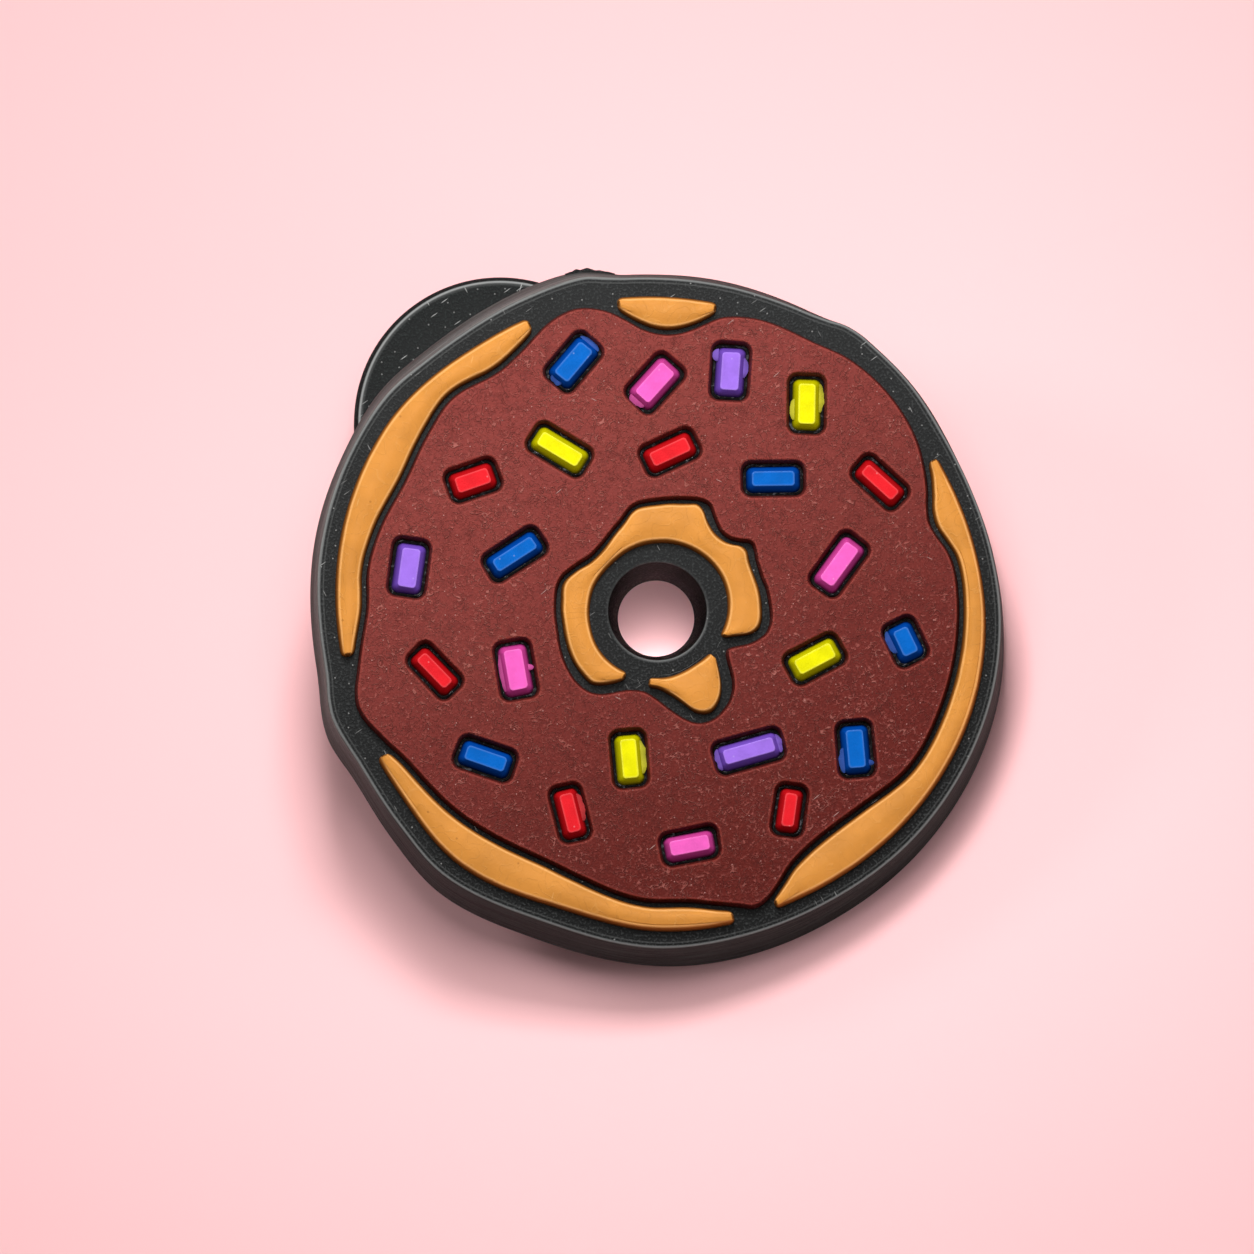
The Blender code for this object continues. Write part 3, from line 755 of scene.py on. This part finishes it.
def make_dough():
    """Orange-brown PVC with soft tone changes and faint scratches, painted shade down its walls and
    at its foot, and a painted highlight along its crests.
    """
    finish = Finish("dough")
    base = (0.53, 0.215, 0.038, 1.0)
    patches = finish.noise(0.7, 3.0)
    grain = finish.noise(9.0, 3.0)
    fibres = finish.fibres(1.5, 0.025, 1.0)
    specks = finish.specks(0.8, 0.05, 0.2)
    scratches = finish.dashes(75, 0.9, 0.03, 0.35, 7.0)
    colour = finish.mix(finish.ramp(patches, 0.3, 0.7), shade(base, 0.92), shade(base, 1.07))
    colour = finish.laid_over(colour, fibres, 0.16, (0.62, 0.32, 0.1, 1.0))
    colour = finish.laid_over(colour, scratches, 0.3, (0.72, 0.42, 0.15, 1.0))
    colour = finish.laid_over(colour, specks, 0.5, (0.25, 0.09, 0.015, 1.0))
    # Painted shade: darker down the walls and near black at the foot.
    wall = finish.ramp(finish.height(), 0.36, 0.475, 0.85, 0.0)
    colour = finish.mix(wall, colour, (0.25, 0.075, 0.008, 1.0))
    foot = finish.ramp(finish.height(), 0.0, 0.35, 0.8, 0.0)
    colour = finish.mix(foot, colour, (0.05, 0.012, 0.001, 1.0))
    # Painted highlight along the crests.
    colour = finish.laid_over(colour, finish.crest_highlight(), 0.4, (0.9, 0.5, 0.2, 1.0))
    roughness = finish.ramp(grain, 0.3, 0.7, 0.44, 0.6)
    relief = finish.total((grain, 0.6), (fibres, 0.5), (patches, 1.5))
    return finish.done(colour, roughness, relief, 0.016, specular=0.08)


def make_sprinkle_finish(name, base):
    """Satin coloured PVC, with painted shade deeper down its sides and at its foot, and a painted
    highlight along the edge of its top.
    """
    finish = Finish(name)
    patches = finish.noise(1.4, 3.0)
    grain = finish.noise(10.0, 3.0)
    light = tuple(part + 0.3 * (1 - part) for part in base[:3]) + (1.0,)
    colour = finish.mix(finish.ramp(patches, 0.3, 0.7), shade(base, 0.92), shade(base, 1.08))
    specks = finish.specks(1.6, 0.08, 0.25)
    colour = finish.laid_over(colour, specks, 0.3, light)
    # Painted shade: deeper down the sides and near black at the foot.
    wall = finish.ramp(finish.height(), 0.53, 0.572, 0.9, 0.0)
    colour = finish.mix(wall, colour, deepened(base, 0.36, 0.32))
    foot = finish.ramp(finish.height(), 0.02, 0.3, 0.8, 0.0)
    colour = finish.mix(foot, colour, deepened(base, 0.04, 0.1))
    # Painted highlight along the edge of the top.
    colour = finish.laid_over(colour, finish.crest_highlight(), 0.12, light)
    roughness = finish.ramp(grain, 0.3, 0.7, 0.4, 0.54)
    relief = finish.total((grain, 0.6), (patches, 1.0))
    return finish.done(colour, roughness, relief, 0.016, specular=0.03)


# Pieces.
def add_torn_skin(bm, radius_at):
    """A ragged skin of plastic that stands out from the plate's wall, near its back."""
    first, last = TORN_SKIN_SPAN
    rings = []
    for k in range(TORN_SKIN_STEPS + 1):
        angle = first + (last - first) * k / TORN_SKIN_STEPS
        reach = 0.0
        for peak, half_width, height in TORN_SKIN_PEAKS:
            reach = max(reach, height * (1 - abs(angle - peak) / half_width))
        root = radius_at(angle) - TORN_SKIN_ROOT
        tip = radius_at(angle) + reach
        corners = zip((root, root, tip, tip), TORN_SKIN_HEIGHTS)
        rings.append([bm.verts.new(on_face(angle, out, high) * MM) for out, high in corners])
    join_rings(bm, rings)
    close_ends(bm, rings)


def rim_points(bm, height):
    """The points of the plate's outer rim at a height."""
    level = [vert.co for vert in bm.verts if abs(vert.co.z - height) < EDGE_TOLERANCE]
    return [point for point in level if point.xy.length > 2 * HOLE_RIM_RADIUS]


def make_plate(bars, materials):
    """The plate: a lipped face, an uneven wall, the drafted hole, and the traces of moulding."""
    bm_cad = node_mesh("backing_plate", to_face)
    face_edge = closed_curve(rim_points(bm_cad, -FACE_BEVEL))
    back_edge = closed_curve(rim_points(bm_cad, BACK_BEVEL - PLATE_THICKNESS))
    bm_cad.free()
    face_loop = outline(face_edge, PLATE_STEPS)
    back_loop = outline(back_edge, PLATE_STEPS)
    bm = new_mesh()
    loops = []
    crest_highlights = []
    for inset, height, crest_highlight in BACK_PROFILE:
        loops.append(moved_out(back_loop, -inset, height))
        crest_highlights.append(crest_highlight)
    for level in range(WALL_LEVELS + 1):
        share = level / WALL_LEVELS
        height = (BACK_BEVEL - PLATE_THICKNESS) * (1 - share) - FACE_BEVEL * share
        loop = []
        for k, (back, face) in enumerate(zip(back_loop, face_loop)):
            point = back.lerp(face, share)
            point.z = height
            fade = min(1.0, 4 * share, 5 * (1 - share))
            along = Vector((point.x * 0.6, point.y * 0.6, point.z * 3.5))
            dent = LEAST_DENT + UNEVEN_DENT * fade * (1 + uneven(along, 2.2, WALL_SEED))
            loop.append(point - on_face(360 * k / PLATE_STEPS, dent))
        loops.append(loop)
        crest_highlights.append(0.0)
    for inset, height, crest_highlight in LIP_PROFILE:
        loops.append(moved_out(face_loop, -inset, height))
        crest_highlights.append(crest_highlight)
    wall = add_stack(bm, loops, crest_highlights, material=1)
    for face in bm.faces:
        if all(vert.co.z > -FACE_DEPTH * MM for vert in face.verts):
            face.material_index = 0
    hole_loops = []
    for radius, height, _ in HOLE_PROFILE:
        loop = circle(radius, HOLE_STEPS)
        hole_loops.append([Vector((p.x, p.y, height)) for p in loop])
    hole = add_stack(bm, hole_loops, [crest_highlight for _, _, crest_highlight in HOLE_PROFILE])
    # The hole's wall takes the darker black of painted shade.
    for face in {face for ring in hole[1:-4] for vert in ring for face in vert.link_faces}:
        face.material_index = 3
    # Painted glint: the hole's painted highlight is strongest where its rim faces GLINT_DIRECTION.
    layer = bm.verts.layers.float["crest_highlight"]
    for ring in hole:
        for k, vert in enumerate(ring):
            facing = math.cos(math.radians(360 * k / HOLE_STEPS - GLINT_DIRECTION))
            vert[layer] = vert[layer] * (0.25 + 0.75 * max(0.0, facing))
    fill_between(bm, (wall[0], hole[0]))
    fill_between(bm, (wall[-1], hole[-1]))
    bmesh.ops.recalc_face_normals(bm, faces=bm.faces[:])
    cut_by_floor(bm)
    for index, bar in enumerate(bars):
        add_squeezed_rim(bm, bar, index)
    for thread in THREADS:
        add_thread(bm, thread)
    add_torn_skin(bm, back_edge)
    make_piece("backing_plate", bm, materials)


def add_squeezed_rim(bm, bar, index):
    """A low lumpy ring of black PVC that the moulding has pushed up round a sprinkle."""
    base = rounded_bar(bar, 0.0, 0.3, CORNER_STEPS)
    loops = []
    for out, height, lift in SQUEEZED_PROFILE:
        loop = moved_out(base, out, 0.0)
        for point in loop:
            lump = uneven(point, 0.5, RIM_SEED + index)
            lump += 0.5 * uneven(point, 0.2, FINE_RIM_SEED + index)
            point.z = height + 0.07 * lift * lump
        loops.append(loop)
    add_stack(bm, loops, closed=True, material=2)


def add_thread(bm, points):
    """A thin raised thread of plastic through points on the plate's face."""
    layer = bm.verts.layers.float["crest_highlight"]
    path = [Vector((x, y, 0)) for x, y in points]
    rings = []
    for k, point in enumerate(path):
        along = (path[min(k + 1, len(path) - 1)] - path[max(k - 1, 0)]).normalized()
        side = Vector((-along.y, along.x, 0)) * THREAD_WIDTH / 2
        share = 0.3 if k in (0, len(path) - 1) else 1.0
        sunk = Vector((0, 0, 0.01))
        crest = Vector((0, 0, THREAD_HEIGHT * share))
        ring = [point + side - sunk, point + crest, point - side - sunk]
        rings.append([bm.verts.new(corner * MM) for corner in ring])
        # Painted highlight on the thread's crest.
        rings[-1][1][layer] = share
    join_rings(bm, rings)
    close_ends(bm, rings)


def make_stud(material):
    """The turned button: a filleted post and a disc with a fine bead inside its edge."""
    place = on_face(STUD_DIRECTION, STUD_OFFSET)
    top = -PLATE_THICKNESS
    disc_front = top - SEAM - NECK_LENGTH
    disc_back = disc_front - DISC_THICKNESS
    fillet = []
    for degrees in range(0, 91, 15):
        arc = math.radians(degrees)
        fillet.append((POST_FILLET * (1 - math.sin(arc)), POST_FILLET * (1 - math.cos(arc))))
    profile = [(POST_RADIUS + out, top - SEAM - down, 0.0) for out, down in fillet]
    profile.insert(0, (POST_RADIUS + POST_FILLET, top + 0.01, 0.0))
    profile += [(POST_RADIUS + out, disc_front + down, 0.0) for out, down in reversed(fillet)]
    profile += [
        (DISC_RADIUS - inset, disc_front - down, crest_highlight) for inset, down, crest_highlight in DISC_FRONT_PROFILE
    ]
    profile += [(DISC_RADIUS - inset, disc_back + rise, 0.0) for inset, rise in DISC_BACK_PROFILE]
    bm = new_mesh()
    loops = []
    for radius, height, _ in profile:
        loop = circle(radius, STUD_STEPS, place)
        for point in loop:
            point.z = height
        loops.append(loop)
    rings = add_stack(bm, loops, [crest_highlight for _, _, crest_highlight in profile])
    close_ends(bm, rings)
    bmesh.ops.recalc_face_normals(bm, faces=bm.faces[:])
    cut_by_floor(bm)
    make_piece("stud", bm, [material])


def make_icing_piece(bars, material):
    """The icing: wavy edges, a pocket for each sprinkle, and a fine bead along every edge."""
    bm_cad = node_mesh("chocolate_icing", to_face)
    loops = flat_loops(bm_cad, SEAM)
    bm_cad.free()
    outer = outline(closed_curve(loops[0]), ICING_OUTER_STEPS)
    inner = outline(closed_curve(loops[1]), ICING_INNER_STEPS)
    bm = new_mesh()
    crest_highlights = [crest_highlight for _, _, crest_highlight in ICING_PROFILE]
    walls = [
        add_stack(bm, [moved_out(outer, -inset, z) for inset, z, _ in ICING_PROFILE], crest_highlights),
        add_stack(bm, [moved_out(inner, inset, z) for inset, z, _ in ICING_PROFILE], crest_highlights),
    ]
    crest_highlights = [crest_highlight for _, _, crest_highlight in POCKET_PROFILE]
    for index, bar in enumerate(bars):
        base = rounded_bar(bar, 0.0, 0.24, CORNER_STEPS)
        stack = []
        for out, height, _ in POCKET_PROFILE:
            loop = moved_out(base, out, height)
            for k, point in enumerate(loop):
                wave = 0.05 * uneven(base[k], 0.9, POCKET_SEED + index)
                along = (point - bar[0]).normalized()
                loop[k] = Vector((point.x + along.x * wave, point.y + along.y * wave, height))
            stack.append(loop)
        walls.append(add_stack(bm, stack, crest_highlights))
    fill_between(bm, [rings[0] for rings in walls])
    fill_between(bm, [rings[-1] for rings in walls])
    make_piece("chocolate_icing", bm, [material])


def dough_sides(node):
    """A dough strip's inner and outer side, each as [angle, radius] rows at full width."""
    bm = node_mesh(node, to_face)
    loop = flat_loops(bm, SEAM)[0]
    bm.free()
    angles = [math.degrees(math.atan2(p.y, p.x)) for p in loop]

    def turned(first, second):
        return (angles[second % len(loop)] - angles[first] + 180) % 360 - 180

    # Along the loop, the outer side runs anticlockwise and the inner side back.
    outer = [k for k in range(len(loop)) if turned(k - 1, k) + turned(k, k + 1) > 0]
    while outer[0] == 0 and outer[-1] == len(loop) - 1:
        loop.append(loop.pop(0))
        angles.append(angles.pop(0))
        outer = [k for k in range(len(loop)) if turned(k - 1, k) + turned(k, k + 1) > 0]
    inner = [(outer[0] - 1 - k) % len(loop) for k in range(len(loop) - len(outer))]
    start = angles[outer[0]]
    sides = []
    for side in (inner, outer):
        sides.append([[start + (angles[k] - start + 2) % 360 - 2, loop[k].xy.length] for k in side])
    for place, fullness in enumerate(DOUGH_TIP_FULLNESS):
        for k in (place, -1 - place):
            low, high = sides[0][k][1], sides[1][k][1]
            grown = (high - low) * (1 / fullness - 1) / 2
            sides[0][k][1] = low - grown
            sides[1][k][1] = high + grown
    return sides


def radius_on(side, angle):
    """The radius of a side of dough at an angle, on a smooth open curve."""
    k = bisect.bisect_right([row[0] for row in side], angle) - 1
    k = max(0, min(len(side) - 2, k))
    before, first, second, beyond = (
        side[max(0, k - 1)], side[k], side[k + 1], side[min(len(side) - 1, k + 2)]
    )
    span = second[0] - first[0]
    t = (angle - first[0]) / span
    slope_first = (second[1] - before[1]) / (second[0] - before[0])
    slope_second = (beyond[1] - first[1]) / (beyond[0] - first[0])
    ends = first[1] * (1 + 2 * t) * (1 - t) ** 2 + second[1] * (3 - 2 * t) * t ** 2
    return ends + span * (slope_first * t * (1 - t) ** 2 - slope_second * t ** 2 * (1 - t))


def tip_share(distance):
    """The share of its full width that a strip of dough has at a distance from its tip."""
    if distance >= TIP_REACH:
        return 1.0
    return (1 - (1 - distance / TIP_REACH) ** 2.4) ** (1 / 2.4)


def dough_section(angle, inner, outer, distance, index):
    """A cross-section of dough as (point, painted highlight) rows, from its inner foot to its outer
    foot.
    """
    middle = (inner + outer) / 2
    half = (outer - inner) / 2 * tip_share(distance)
    slim = min(1.0, half / 0.32)
    cap = TIP_HEIGHT * distance / TIP_DRAFT - 0.03
    rows = []
    for inset, height, crest_highlight in DOUGH_PROFILE:
        rows.append((middle - half + inset * slim, height, crest_highlight))
    edge = DOUGH_PROFILE[-1][1]
    crown = edge + (DOUGH_RIDGE_HEIGHT - edge) * slim
    for place, share in DOUGH_TOP:
        rows.append((middle + place * half, edge + (crown - edge) * share, 0.0))
    for inset, height, crest_highlight in reversed(DOUGH_PROFILE):
        rows.append((middle + half - inset * slim, height + 0.006 * (height > 0.4), crest_highlight))
    section = []
    for radius, height, crest_highlight in rows:
        point = on_face(angle, radius)
        wobble = 0.016 * uneven(point, 0.7, DOUGH_SEED + index) * (height > 0.1) * (crest_highlight > 0)
        point += on_face(angle, wobble)
        point.z = min(height, cap)
        section.append((point, crest_highlight))
    return section


def make_dough_piece(node, material, index):
    """A strip of dough: drafted sides, a painted highlight along its edge and a flat, softly ridged
    top.
    """
    inner_side, outer_side = dough_sides(node)
    first, last = outer_side[0][0], outer_side[-1][0]
    degree = math.radians(1) * outer_side[len(outer_side) // 2][1]
    length = (last - first) * degree
    middle = length - 2 * TIP_LENGTH
    count = max(8, round(middle / SECTION_SPACING))
    steps = list(TIP_SECTIONS)
    steps += [TIP_LENGTH + middle * k / count for k in range(count + 1)]
    steps += [length - step for step in reversed(TIP_SECTIONS)]
    bm = new_mesh()
    sections = []
    for step in steps:
        angle = first + step / degree
        inner, outer = radius_on(inner_side, angle), radius_on(outer_side, angle)
        sections.append(dough_section(angle, inner, outer, min(step, length - step), index))
    rings = add_stack(bm, [[point for point, _ in section] for section in sections])
    layer = bm.verts.layers.float["crest_highlight"]
    for ring, section in zip(rings, sections):
        for vert, (_, crest_highlight) in zip(ring, section):
            vert[layer] = crest_highlight
    close_ends(bm, rings)
    make_piece(node, bm, [material])


def add_flash(bm, bar, side, start, end, reach, index):
    """A thin ragged skin of the sprinkle's colour, lying beside its foot."""
    centre, direction, length, width = bar
    layer = bm.verts.layers.float["crest_highlight"]
    turn = Matrix.Rotation(direction + side * math.pi / 2, 3, "Z")
    out, half = (length / 2, width / 2) if side % 2 == 0 else (width / 2, length / 2)
    rings = []
    for k in range(FLASH_STEPS + 1):
        along = (start + (end - start) * k / FLASH_STEPS) * half
        taper = math.sin(math.pi * (k + 0.15) / (FLASH_STEPS + 0.3)) ** 0.5
        ragged = 1 + 0.5 * uneven(Vector((along, side, 0)), 0.25, FLASH_SEED + index)
        tip = out - 0.06 + (reach + 0.06) * taper * ragged
        lift = 0.17 + 0.05 * uneven(Vector((along, side, 1)), 0.4, FLASH_LIFT_SEED + index)
        corners = (Vector((out - 0.1, along, 0.02)), Vector((out - 0.1, along, lift + 0.12)),
                   Vector((tip, along, lift)), Vector((tip - 0.01, along, lift - 0.05)))
        rings.append([bm.verts.new((centre + turn @ corner) * MM) for corner in corners])
        # Painted highlight along the flash's top.
        for vert in rings[-1][1:]:
            vert[layer] = 0.85
    join_rings(bm, rings)
    close_ends(bm, rings)


def make_sprinkle(node, bar, material, index):
    """A sprinkle: a bar with sloping sides and a flat top with a painted highlight along its edge.
    """
    loops = []
    for inset, height, _ in SPRINKLE_PROFILE:
        corner = max(0.1, 0.3 - 0.6 * inset)
        loop = rounded_bar(bar, -inset, corner, CORNER_STEPS)
        for k, point in enumerate(loop):
            wave = 0.022 * uneven(point, 0.8, SPRINKLE_SEED + index)
            wave += 0.012 * uneven(point, 0.25, FINE_SPRINKLE_SEED + index)
            outward = (point - bar[0]).normalized()
            loop[k] = point + outward * wave + Vector((0, 0, height))
        loops.append(loop)
    bm = new_mesh()
    rings = add_stack(bm, loops, [crest_highlight for _, _, crest_highlight in SPRINKLE_PROFILE])
    close_ends(bm, rings)
    for side, start, end, reach in FLASH.get(node, ()):
        add_flash(bm, bar, side, start, end, reach, index)
    make_piece(node, bm, [material])


# The camera, the lights and the floor.
def look_from(place, target, up):
    """The pose, on the plate's face, of a camera or light at a place that faces a target."""
    back = (place - target).normalized()
    right = up.cross(back).normalized()
    turn = Matrix((right, back.cross(right), back)).transposed().to_4x4()
    return face_pose @ Matrix.Translation(place * MM) @ turn


def make_camera():
    """The photograph's view: from above and a little from below the middle of the face."""
    target = Vector(VIEW_TARGET)
    direction = Vector(VIEW_DIRECTION).normalized()
    camera = bpy.data.cameras.new("camera")
    camera.sensor_width = SENSOR_WIDTH
    camera.lens = SENSOR_WIDTH * VIEW_DISTANCE / VIEW_WIDTH
    camera.clip_start = 0.01
    view = bpy.data.objects.new("camera", camera)
    bpy.context.collection.objects.link(view)
    view.matrix_world = look_from(target + direction * VIEW_DISTANCE, target, Vector((0, 1, 0)))
    bpy.context.scene.camera = view


def make_light(name, place, target, size, watts, spread):
    """A square soft light at a place, facing a target."""
    light = bpy.data.lights.new(name, "AREA")
    light.size = size * MM
    light.energy = watts
    light.spread = math.radians(spread)
    shown = bpy.data.objects.new(name, light)
    bpy.context.collection.objects.link(shown)
    shown.matrix_world = look_from(place, target, Vector((0, 1, 0.01)))
    shown.visible_camera = False


def over_face(azimuth, elevation, distance):
    """A place that lies in a direction over the plate's face."""
    rise = math.radians(elevation)
    return on_face(azimuth, distance * math.cos(rise), distance * math.sin(rise))


def make_floor():
    """A plain pale pink floor."""
    bm = bmesh.new()
    bmesh.ops.create_grid(bm, x_segments=1, y_segments=1, size=FLOOR_HALF_WIDTH)
    mesh = bpy.data.meshes.new("floor")
    bm.to_mesh(mesh)
    bm.free()
    finish = Finish("floor")
    tone = finish.total((finish.noise(0.02, 1.0), 0.2), (finish.across(270, -22, 26), 0.8))
    colour = finish.mix(tone, *FLOOR_TONES)
    mesh.materials.append(finish.done(colour, 0.85, finish.noise(0.5), 0.01, specular=0.0))
    floor = bpy.data.objects.new("floor", mesh)
    bpy.context.collection.objects.link(floor)


def make_world():
    """Soft light from all round."""
    world = bpy.data.worlds.new("studio")
    bpy.context.scene.world = world
    world.use_nodes = True
    background = world.node_tree.nodes["Background"]
    background.inputs["Color"].default_value = WORLD_COLOUR
    background.inputs["Strength"].default_value = WORLD_STRENGTH


def make_all():
    """Makes every piece, then the stage."""
    sprinkles = [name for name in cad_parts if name.startswith("sprinkle_")]
    bars = [measure_bar(name) for name in sprinkles]
    black = make_black("black_face", FACE_BLACK, 0.0)
    hole_wall_shaded = make_black("hole_wall_shaded", HOLE_SHADED_BLACK, 0.0, specular=0.01)
    make_plate(bars, [black, make_wall(), make_pocket_floor(), hole_wall_shaded])
    make_stud(make_black("black_disc", DISC_BLACK, 1.0))
    make_icing_piece(bars, make_icing())
    dough = make_dough()
    strips = [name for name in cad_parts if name.startswith("dough_")]
    for index, name in enumerate(strips):
        make_dough_piece(name, dough, index)
    finishes = {
        name: make_sprinkle_finish("sprinkle_" + name, colour)
        for name, colour in SPRINKLE_COLOURS.items()
    }
    for index, (name, bar) in enumerate(zip(sprinkles, bars)):
        make_sprinkle(name, bar, finishes[name.split("_")[1]], index)
    make_floor()
    make_world()
    make_camera()
    for name, azimuth, elevation, distance, target, size, watts, spread in LIGHTS:
        place = over_face(azimuth, elevation, distance)
        make_light(name, place, Vector(target), size, watts, spread)
    place, target, size, watts, spread = HOLE_LIGHT
    make_light("under_plate", Vector(place), Vector(target), size, watts, spread)
    bpy.context.scene.view_settings.view_transform = "Standard"


make_all()
